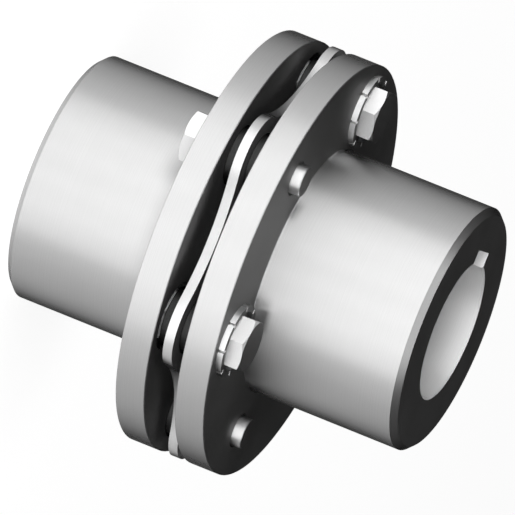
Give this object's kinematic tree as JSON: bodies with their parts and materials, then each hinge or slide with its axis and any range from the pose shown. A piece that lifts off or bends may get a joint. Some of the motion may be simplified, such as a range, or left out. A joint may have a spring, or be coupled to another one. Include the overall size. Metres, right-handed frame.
{
  "type": "disc coupling",
  "caption": "Flexible shaft coupling: flanged, keyed hubs joined by alternating bolts through a pack of thin scalloped steel discs.",
  "frame": {"origin": "centre of the lower hub's end face, on the shaft axis, which is also the bottom of the object", "axes": "+Z along the shaft axis from the lower hub to the upper hub; +X through both keyways and the first upper bolt; Y completes the right-handed frame"},
  "size_m": [0.11, 0.11, 0.1085],
  "materials": {
    "hub_steel": "fine turned steel, satin",
    "disc_steel": "bright rolled stainless spring steel",
    "bolt_steel": "bright machined steel",
    "spacer_steel": "blackened ground steel",
    "washer_steel": "bright turned steel"
  },
  "bodies": {
    "root": {"disc_01": "disc_steel", "disc_02": "disc_steel", "disc_03": "disc_steel", "disc_04": "disc_steel", "disc_05": "disc_steel", "disc_06": "disc_steel", "disc_07": "disc_steel", "disc_08": "disc_steel", "disc_09": "disc_steel", "disc_10": "disc_steel", "lock_washer_1": "washer_steel", "lock_washer_2": "washer_steel", "lock_washer_3": "washer_steel", "lower_bolt_1": "bolt_steel", "lower_bolt_2": "bolt_steel", "lower_bolt_3": "bolt_steel", "lower_bolt_nut_1": "bolt_steel", "lower_bolt_nut_2": "bolt_steel", "lower_bolt_nut_3": "bolt_steel", "lower_hub": "hub_steel", "lower_spacer_1": "spacer_steel", "lower_spacer_2": "spacer_steel", "lower_spacer_3": "spacer_steel", "lower_spacer_4": "spacer_steel", "lower_spacer_5": "spacer_steel", "lower_spacer_6": "spacer_steel", "upper_bolt_1": "bolt_steel", "upper_bolt_2": "bolt_steel", "upper_bolt_3": "bolt_steel", "upper_bolt_nut_1": "bolt_steel", "upper_bolt_nut_2": "bolt_steel", "upper_bolt_nut_3": "bolt_steel", "upper_hub": "hub_steel", "upper_spacer_1": "spacer_steel", "upper_spacer_2": "spacer_steel", "upper_spacer_3": "spacer_steel", "upper_spacer_4": "spacer_steel", "upper_spacer_5": "spacer_steel", "upper_spacer_6": "spacer_steel"}
  },
  "joints": []
}
